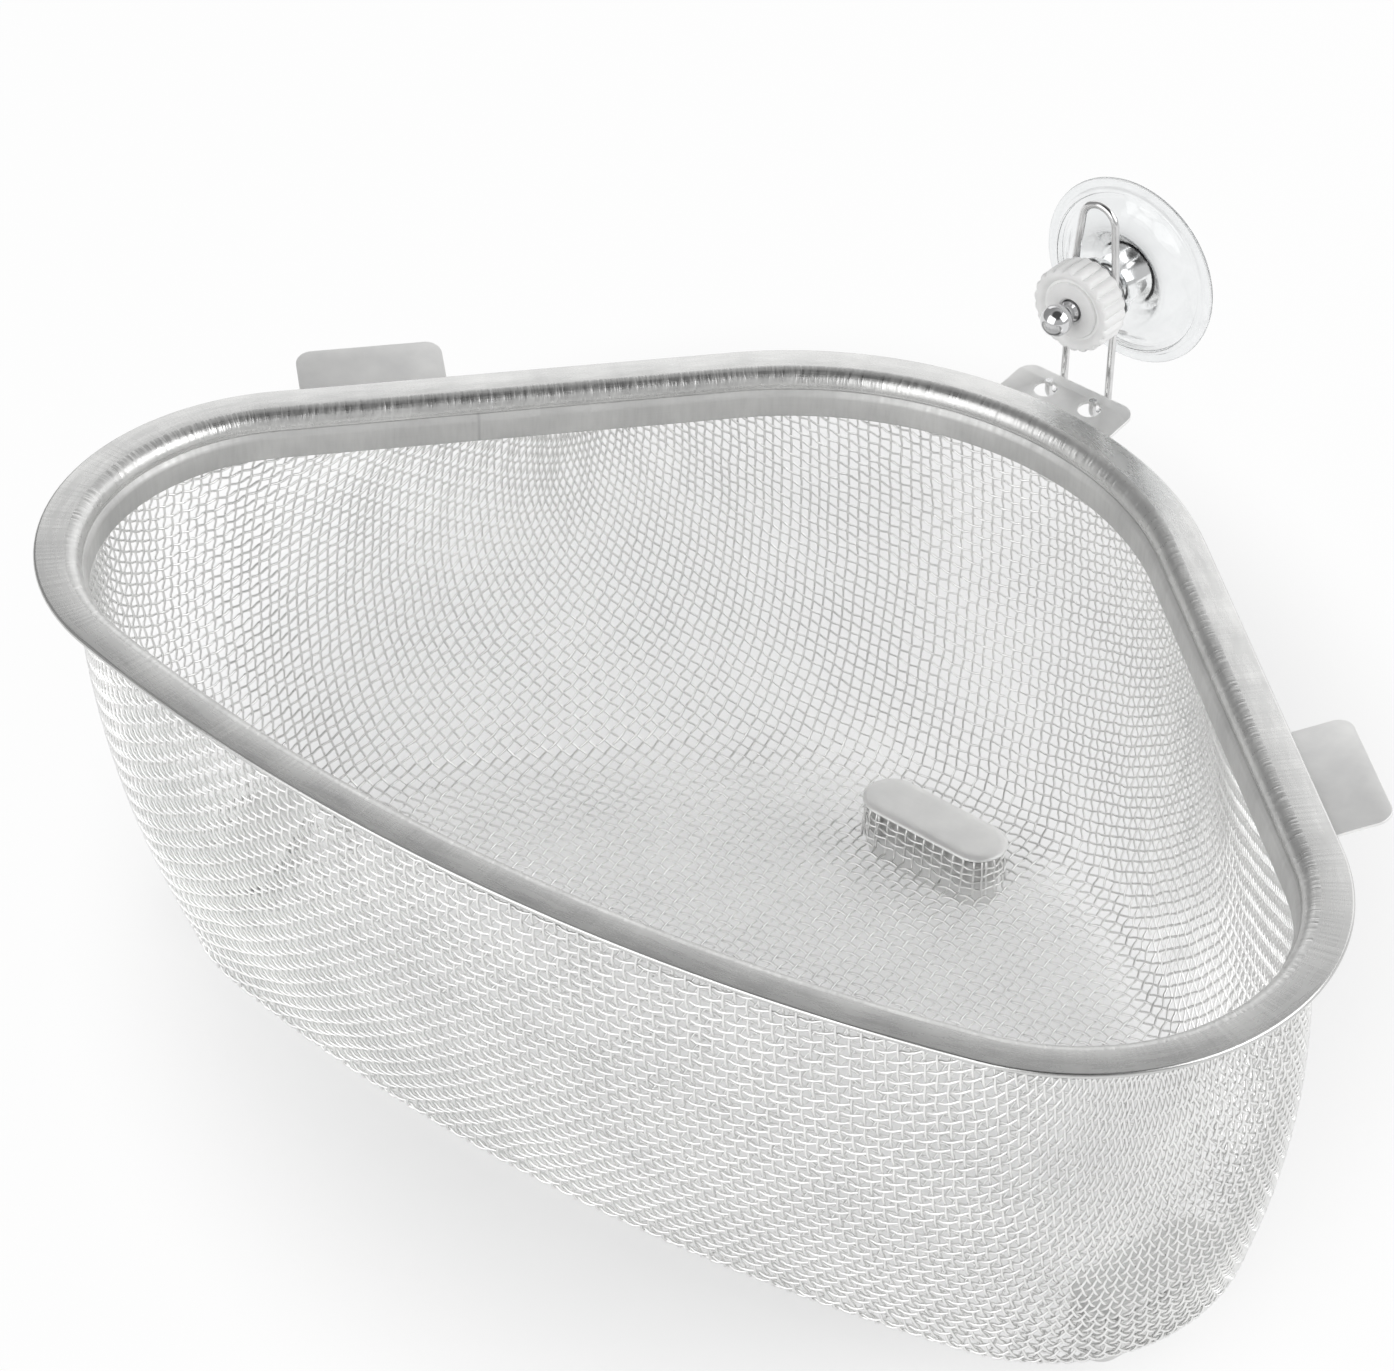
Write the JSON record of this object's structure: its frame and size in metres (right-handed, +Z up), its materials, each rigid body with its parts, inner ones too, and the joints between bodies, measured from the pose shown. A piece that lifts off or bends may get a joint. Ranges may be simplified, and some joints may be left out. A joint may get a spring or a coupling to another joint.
{
  "type": "hanging corner strainer basket",
  "caption": "Deep woven steel strainer basket for a sink corner, with a rolled rim, welded tabs, feet and a wire hook carried by a suction cup.",
  "frame": {"origin": "bottom centre of the whole object's box, in the plane of the three feet", "axes": "+X to the right along the bowed front, +Y from the bowed front towards the corner that carries the hook, +Z up"},
  "size_m": [0.28, 0.2172, 0.1506],
  "materials": {
    "satin_steel": "satin",
    "band_steel": "satin",
    "strip_steel": "satin",
    "mesh_steel": "bright drawn wire",
    "tab_steel": "matt",
    "cap_steel": "matt",
    "foot_steel": "matt",
    "wire_steel": "polished",
    "stud_chrome": "polished",
    "clear_vinyl": "clear, soft",
    "white_plastic": "smooth"
  },
  "bodies": {
    "basket": {"rim_frame": "satin_steel", "inner_band": "band_steel", "binding_strip": "strip_steel", "mesh_basket": "mesh_steel", "left_tab": "tab_steel", "right_tab": "tab_steel", "hanger_tab": "tab_steel", "foot_cup_apex": "foot_steel", "foot_cup_left": "foot_steel", "foot_cup_right": "foot_steel", "foot_cap_apex": "cap_steel", "foot_cap_left": "cap_steel", "foot_cap_right": "cap_steel"},
    "hook": {"wire_hook": "wire_steel"},
    "pin": {"stud": "stud_chrome"},
    "cup": {"suction_cup": "clear_vinyl"},
    "nut": {"knurled_nut": "white_plastic"}
  },
  "joints": [
    {"name": "hook_swing", "type": "hinge", "parent": "basket", "child": "hook", "pos_m": [0.00855, 0.09088, 0.10593], "axis": [-0.9954, 0.0958, 0], "range_deg": [-30, 90]},
    {"name": "stud_slide", "type": "slide", "parent": "hook", "child": "pin", "axis": [0, 0, 1], "range_m": [-0.008, 0.016]},
    {"name": "cup_turn", "type": "hinge", "parent": "pin", "child": "cup", "pos_m": [0.00881, 0.09356, 0.12843], "axis": [-0.0958, -0.9954, 0], "continuous": true},
    {"name": "nut_turn", "type": "hinge", "parent": "pin", "child": "nut", "pos_m": [0.00881, 0.09356, 0.12843], "axis": [-0.0958, -0.9954, 0], "range_deg": [0, 720]}
  ]
}
